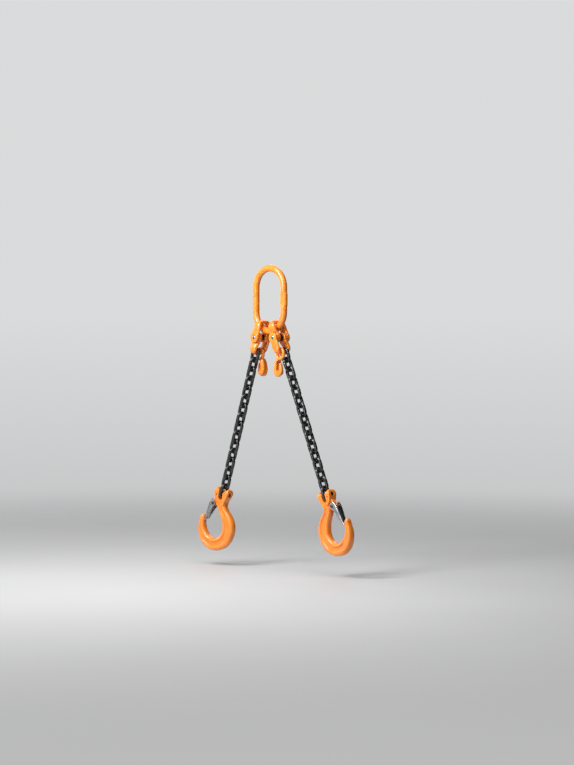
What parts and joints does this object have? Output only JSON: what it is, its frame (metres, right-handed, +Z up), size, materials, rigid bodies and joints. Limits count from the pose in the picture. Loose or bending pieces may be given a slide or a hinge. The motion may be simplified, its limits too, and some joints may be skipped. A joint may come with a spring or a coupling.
{
  "type": "two leg chain sling",
  "caption": "Lifting chain sling: a master link carries chain legs on forged couplings, each with a shortening hook and a latched clevis sling hook.",
  "frame": {"origin": "inner crown of the master link, where the crane hook bears", "axes": "+X along the spread of the legs towards the right-hand hook, +Y to the back, +Z up"},
  "size_m": [0.4477, 0.043, 0.6187],
  "materials": {
    "orange_coat": "semi-gloss powder coat with forged texture",
    "black_chain": "satin black finish over welded round steel links",
    "dark_steel": "dark phosphated pin steel",
    "zinc_sheet": "bright zinc-plated pressed sheet",
    "spring_steel": "plain spring wire"
  },
  "bodies": {
    "master_link": {"master_link": "orange_coat"},
    "left_coupling_upper": {"left_coupling_upper_half": "orange_coat", "left_coupling_pin": "zinc_sheet", "left_coupling_sleeve": "dark_steel"},
    "left_coupling_lower": {"left_coupling_lower_half": "orange_coat"},
    "left_grab_hook": {"left_grab_hook": "orange_coat"},
    "left_link_01": {"left_chain_link_01": "black_chain"},
    "left_link_02": {"left_chain_link_02": "black_chain"},
    "left_link_03": {"left_chain_link_03": "black_chain"},
    "left_link_04": {"left_chain_link_04": "black_chain"},
    "left_link_05": {"left_chain_link_05": "black_chain"},
    "left_link_06": {"left_chain_link_06": "black_chain"},
    "left_link_07": {"left_chain_link_07": "black_chain"},
    "left_link_08": {"left_chain_link_08": "black_chain"},
    "left_link_09": {"left_chain_link_09": "black_chain"},
    "left_link_10": {"left_chain_link_10": "black_chain"},
    "left_link_11": {"left_chain_link_11": "black_chain"},
    "left_link_12": {"left_chain_link_12": "black_chain"},
    "left_link_13": {"left_chain_link_13": "black_chain"},
    "left_link_14": {"left_chain_link_14": "black_chain"},
    "left_link_15": {"left_chain_link_15": "black_chain"},
    "left_link_16": {"left_chain_link_16": "black_chain"},
    "left_sling_hook": {"left_sling_hook": "orange_coat", "left_clevis_pin": "dark_steel", "left_clevis_roll_pin": "dark_steel", "left_latch_pin": "dark_steel"},
    "left_latch": {"left_latch": "zinc_sheet", "left_latch_spring": "spring_steel"},
    "right_coupling_upper": {"right_coupling_upper_half": "orange_coat", "right_coupling_pin": "zinc_sheet", "right_coupling_sleeve": "dark_steel"},
    "right_coupling_lower": {"right_coupling_lower_half": "orange_coat"},
    "right_grab_hook": {"right_grab_hook": "orange_coat"},
    "right_link_01": {"right_chain_link_01": "black_chain"},
    "right_link_02": {"right_chain_link_02": "black_chain"},
    "right_link_03": {"right_chain_link_03": "black_chain"},
    "right_link_04": {"right_chain_link_04": "black_chain"},
    "right_link_05": {"right_chain_link_05": "black_chain"},
    "right_link_06": {"right_chain_link_06": "black_chain"},
    "right_link_07": {"right_chain_link_07": "black_chain"},
    "right_link_08": {"right_chain_link_08": "black_chain"},
    "right_link_09": {"right_chain_link_09": "black_chain"},
    "right_link_10": {"right_chain_link_10": "black_chain"},
    "right_link_11": {"right_chain_link_11": "black_chain"},
    "right_link_12": {"right_chain_link_12": "black_chain"},
    "right_link_13": {"right_chain_link_13": "black_chain"},
    "right_link_14": {"right_chain_link_14": "black_chain"},
    "right_link_15": {"right_chain_link_15": "black_chain"},
    "right_link_16": {"right_chain_link_16": "black_chain"},
    "right_sling_hook": {"right_sling_hook": "orange_coat", "right_clevis_pin": "dark_steel", "right_clevis_roll_pin": "dark_steel", "right_latch_pin": "dark_steel"},
    "right_latch": {"right_latch": "zinc_sheet", "right_latch_spring": "spring_steel"}
  },
  "joints": [
    {"name": "left_coupling_swing", "type": "hinge", "parent": "master_link", "child": "left_coupling_upper", "pos_m": [-0.027, 0, -0.11717], "axis": [-0.766, 0, 0.6428], "range_deg": [-50, 50], "stiffness_Nm_per_rad": 0.5, "springref_deg": 4.8},
    {"name": "left_coupling_hinge", "type": "hinge", "parent": "left_coupling_upper", "child": "left_coupling_lower", "pos_m": [-0.02776, 0, -0.14059], "axis": [0, 1, 0], "range_deg": [-18, 50], "stiffness_Nm_per_rad": 0.5, "springref_deg": 117.57},
    {"name": "left_grab_hook_swing", "type": "hinge", "parent": "left_coupling_lower", "child": "left_grab_hook", "pos_m": [-0.03617, 0.0063, -0.17312], "axis": [0, 1, 0], "range_deg": [-60, 2], "stiffness_Nm_per_rad": 0.5, "springref_deg": -0.38},
    {"name": "left_hook_swing", "type": "hinge", "parent": "left_link_16", "child": "left_sling_hook", "pos_m": [-0.13565, -0.0063, -0.47926], "axis": [-0.965, -0.1045, 0.2406], "range_deg": [-45, 45], "stiffness_Nm_per_rad": 0.5, "springref_deg": -1.4},
    {"name": "left_latch_swing", "type": "hinge", "parent": "left_sling_hook", "child": "left_latch", "pos_m": [-0.15846, -0.00808, -0.50089], "axis": [0.1014, -0.9945, -0.0253], "range_deg": [0, 40], "stiffness_Nm_per_rad": 0.2, "springref_deg": -34.38},
    {"name": "right_coupling_swing", "type": "hinge", "parent": "master_link", "child": "right_coupling_upper", "pos_m": [0.027, 0, -0.11717], "axis": [0.766, 0, 0.6428], "range_deg": [-50, 50], "stiffness_Nm_per_rad": 0.5, "springref_deg": 5.13},
    {"name": "right_coupling_hinge", "type": "hinge", "parent": "right_coupling_upper", "child": "right_coupling_lower", "pos_m": [0.02889, 0, -0.14027], "axis": [0, -1, 0], "range_deg": [-18, 50], "stiffness_Nm_per_rad": 0.5, "springref_deg": 148.86},
    {"name": "right_grab_hook_swing", "type": "hinge", "parent": "right_coupling_lower", "child": "right_grab_hook", "pos_m": [0.03843, -0.0063, -0.17249], "axis": [0, -1, 0], "range_deg": [-60, 2], "stiffness_Nm_per_rad": 0.5, "springref_deg": -0.22},
    {"name": "right_hook_swing", "type": "hinge", "parent": "right_link_16", "child": "right_sling_hook", "pos_m": [0.16421, 0.0063, -0.4688], "axis": [0.946, -0.0698, 0.3165], "range_deg": [-45, 45], "stiffness_Nm_per_rad": 0.5, "springref_deg": 1.23},
    {"name": "right_latch_swing", "type": "hinge", "parent": "right_sling_hook", "child": "right_latch", "pos_m": [0.1887, 0.00511, -0.48855], "axis": [0.0662, 0.9976, 0.0221], "range_deg": [0, 40], "stiffness_Nm_per_rad": 0.2, "springref_deg": -34.38},
    {"name": "left_link_01_hinge", "type": "hinge", "parent": "left_coupling_lower", "child": "left_link_01", "pos_m": [-0.03617, -0.0063, -0.17312], "axis": [0, 1, 0], "range_deg": [-10, 40], "stiffness_Nm_per_rad": 0.5, "springref_deg": 107.26},
    {"name": "left_link_02_hinge", "type": "hinge", "parent": "left_link_01", "child": "left_link_02", "pos_m": [-0.04223, -0.0063, -0.19176], "axis": [-0.9511, 0, 0.309], "range_deg": [-3, 60], "stiffness_Nm_per_rad": 0.5, "springref_deg": -0.25},
    {"name": "left_link_03_hinge", "type": "hinge", "parent": "left_link_02", "child": "left_link_03", "pos_m": [-0.04863, -0.0063, -0.21144], "axis": [0, -1, 0], "range_deg": [-60, 18], "stiffness_Nm_per_rad": 0.5, "springref_deg": -93.3},
    {"name": "left_link_04_hinge", "type": "hinge", "parent": "left_link_03", "child": "left_link_04", "pos_m": [-0.05502, -0.0063, -0.23113], "axis": [0.9511, 0, -0.309], "range_deg": [-60, 60], "stiffness_Nm_per_rad": 0.5, "springref_deg": 0.25},
    {"name": "left_link_05_hinge", "type": "hinge", "parent": "left_link_04", "child": "left_link_05", "pos_m": [-0.06142, -0.0063, -0.25082], "axis": [0, 1, 0], "range_deg": [-25, 60], "stiffness_Nm_per_rad": 0.5, "springref_deg": 79.53},
    {"name": "left_link_06_hinge", "type": "hinge", "parent": "left_link_05", "child": "left_link_06", "pos_m": [-0.06782, -0.0063, -0.27051], "axis": [-0.9511, 0, 0.309], "range_deg": [-60, 60], "stiffness_Nm_per_rad": 0.5, "springref_deg": -0.25},
    {"name": "left_link_07_hinge", "type": "hinge", "parent": "left_link_06", "child": "left_link_07", "pos_m": [-0.07421, -0.0063, -0.29019], "axis": [0, -1, 0], "range_deg": [-60, 35], "stiffness_Nm_per_rad": 0.5, "springref_deg": -66.34},
    {"name": "left_link_08_hinge", "type": "hinge", "parent": "left_link_07", "child": "left_link_08", "pos_m": [-0.08061, -0.0063, -0.30988], "axis": [0.9511, 0, -0.309], "range_deg": [-60, 60], "stiffness_Nm_per_rad": 0.5, "springref_deg": 0.25},
    {"name": "left_link_09_hinge", "type": "hinge", "parent": "left_link_08", "child": "left_link_09", "pos_m": [-0.08701, -0.0063, -0.32957], "axis": [0, 1, 0], "range_deg": [-45, 60], "stiffness_Nm_per_rad": 0.5, "springref_deg": 53.71},
    {"name": "left_link_10_hinge", "type": "hinge", "parent": "left_link_09", "child": "left_link_10", "pos_m": [-0.0934, -0.0063, -0.34925], "axis": [-0.9511, 0, 0.309], "range_deg": [-60, 60], "stiffness_Nm_per_rad": 0.5, "springref_deg": -0.25},
    {"name": "left_link_11_hinge", "type": "hinge", "parent": "left_link_10", "child": "left_link_11", "pos_m": [-0.0998, -0.0063, -0.36894], "axis": [0, -1, 0], "range_deg": [-60, 60], "stiffness_Nm_per_rad": 0.5, "springref_deg": -41.67},
    {"name": "left_link_12_hinge", "type": "hinge", "parent": "left_link_11", "child": "left_link_12", "pos_m": [-0.1062, -0.0063, -0.38863], "axis": [0.9511, 0, -0.309], "range_deg": [-60, 60], "stiffness_Nm_per_rad": 0.5, "springref_deg": 0.25},
    {"name": "left_link_13_hinge", "type": "hinge", "parent": "left_link_12", "child": "left_link_13", "pos_m": [-0.11259, -0.0063, -0.40831], "axis": [0, 1, 0], "range_deg": [-60, 60], "stiffness_Nm_per_rad": 0.5, "springref_deg": 30.2},
    {"name": "left_link_14_hinge", "type": "hinge", "parent": "left_link_13", "child": "left_link_14", "pos_m": [-0.11899, -0.0063, -0.428], "axis": [-0.9511, 0, 0.309], "range_deg": [-60, 60], "stiffness_Nm_per_rad": 0.5, "springref_deg": -0.25},
    {"name": "left_link_15_hinge", "type": "hinge", "parent": "left_link_14", "child": "left_link_15", "pos_m": [-0.12539, -0.0063, -0.44769], "axis": [0, -1, 0], "range_deg": [-60, 60], "stiffness_Nm_per_rad": 0.5, "springref_deg": -19.3},
    {"name": "left_link_16_hinge", "type": "hinge", "parent": "left_link_15", "child": "left_link_16", "pos_m": [-0.13178, -0.0063, -0.46737], "axis": [0.9511, 0, -0.309], "range_deg": [-60, 60], "stiffness_Nm_per_rad": 0.5, "springref_deg": 0.25},
    {"name": "right_link_01_hinge", "type": "hinge", "parent": "right_coupling_lower", "child": "right_link_01", "pos_m": [0.03843, 0.0063, -0.17249], "axis": [0, -1, 0], "range_deg": [-10, 40], "stiffness_Nm_per_rad": 0.5, "springref_deg": 136.95},
    {"name": "right_link_02_hinge", "type": "hinge", "parent": "right_link_01", "child": "right_link_02", "pos_m": [0.04609, 0.0063, -0.19053], "axis": [0.9205, 0, 0.3907], "range_deg": [-3, 60], "stiffness_Nm_per_rad": 0.5, "springref_deg": 0.17},
    {"name": "right_link_03_hinge", "type": "hinge", "parent": "right_link_02", "child": "right_link_03", "pos_m": [0.05418, 0.0063, -0.20959], "axis": [0, 1, 0], "range_deg": [-60, 18], "stiffness_Nm_per_rad": 0.5, "springref_deg": -119.3},
    {"name": "right_link_04_hinge", "type": "hinge", "parent": "right_link_03", "child": "right_link_04", "pos_m": [0.06227, 0.0063, -0.22864], "axis": [-0.9205, 0, -0.3907], "range_deg": [-60, 60], "stiffness_Nm_per_rad": 0.5, "springref_deg": -0.17},
    {"name": "right_link_05_hinge", "type": "hinge", "parent": "right_link_04", "child": "right_link_05", "pos_m": [0.07036, 0.0063, -0.2477], "axis": [0, -1, 0], "range_deg": [-25, 60], "stiffness_Nm_per_rad": 0.5, "springref_deg": 101.89},
    {"name": "right_link_06_hinge", "type": "hinge", "parent": "right_link_05", "child": "right_link_06", "pos_m": [0.07845, 0.0063, -0.26675], "axis": [0.9205, 0, 0.3907], "range_deg": [-60, 60], "stiffness_Nm_per_rad": 0.5, "springref_deg": 0.17},
    {"name": "right_link_07_hinge", "type": "hinge", "parent": "right_link_06", "child": "right_link_07", "pos_m": [0.08653, 0.0063, -0.2858], "axis": [0, 1, 0], "range_deg": [-60, 35], "stiffness_Nm_per_rad": 0.5, "springref_deg": -85.2},
    {"name": "right_link_08_hinge", "type": "hinge", "parent": "right_link_07", "child": "right_link_08", "pos_m": [0.09462, 0.0063, -0.30486], "axis": [-0.9205, 0, -0.3907], "range_deg": [-60, 60], "stiffness_Nm_per_rad": 0.5, "springref_deg": -0.17},
    {"name": "right_link_09_hinge", "type": "hinge", "parent": "right_link_08", "child": "right_link_09", "pos_m": [0.10271, 0.0063, -0.32391], "axis": [0, -1, 0], "range_deg": [-45, 60], "stiffness_Nm_per_rad": 0.5, "springref_deg": 69.25},
    {"name": "right_link_10_hinge", "type": "hinge", "parent": "right_link_09", "child": "right_link_10", "pos_m": [0.1108, 0.0063, -0.34297], "axis": [0.9205, 0, 0.3907], "range_deg": [-60, 60], "stiffness_Nm_per_rad": 0.5, "springref_deg": 0.17},
    {"name": "right_link_11_hinge", "type": "hinge", "parent": "right_link_10", "child": "right_link_11", "pos_m": [0.11889, 0.0063, -0.36202], "axis": [0, 1, 0], "range_deg": [-60, 60], "stiffness_Nm_per_rad": 0.5, "springref_deg": -54.01},
    {"name": "right_link_12_hinge", "type": "hinge", "parent": "right_link_11", "child": "right_link_12", "pos_m": [0.12697, 0.0063, -0.38108], "axis": [-0.9205, 0, -0.3907], "range_deg": [-60, 60], "stiffness_Nm_per_rad": 0.5, "springref_deg": -0.17},
    {"name": "right_link_13_hinge", "type": "hinge", "parent": "right_link_12", "child": "right_link_13", "pos_m": [0.13506, 0.0063, -0.40013], "axis": [0, -1, 0], "range_deg": [-60, 60], "stiffness_Nm_per_rad": 0.5, "springref_deg": 39.51},
    {"name": "right_link_14_hinge", "type": "hinge", "parent": "right_link_13", "child": "right_link_14", "pos_m": [0.14315, 0.0063, -0.41919], "axis": [0.9205, 0, 0.3907], "range_deg": [-60, 60], "stiffness_Nm_per_rad": 0.5, "springref_deg": 0.17},
    {"name": "right_link_15_hinge", "type": "hinge", "parent": "right_link_14", "child": "right_link_15", "pos_m": [0.15124, 0.0063, -0.43824], "axis": [0, 1, 0], "range_deg": [-60, 60], "stiffness_Nm_per_rad": 0.5, "springref_deg": -25.74},
    {"name": "right_link_16_hinge", "type": "hinge", "parent": "right_link_15", "child": "right_link_16", "pos_m": [0.15933, 0.0063, -0.4573], "axis": [-0.9205, 0, -0.3907], "range_deg": [-60, 60], "stiffness_Nm_per_rad": 0.5, "springref_deg": -0.17}
  ]
}
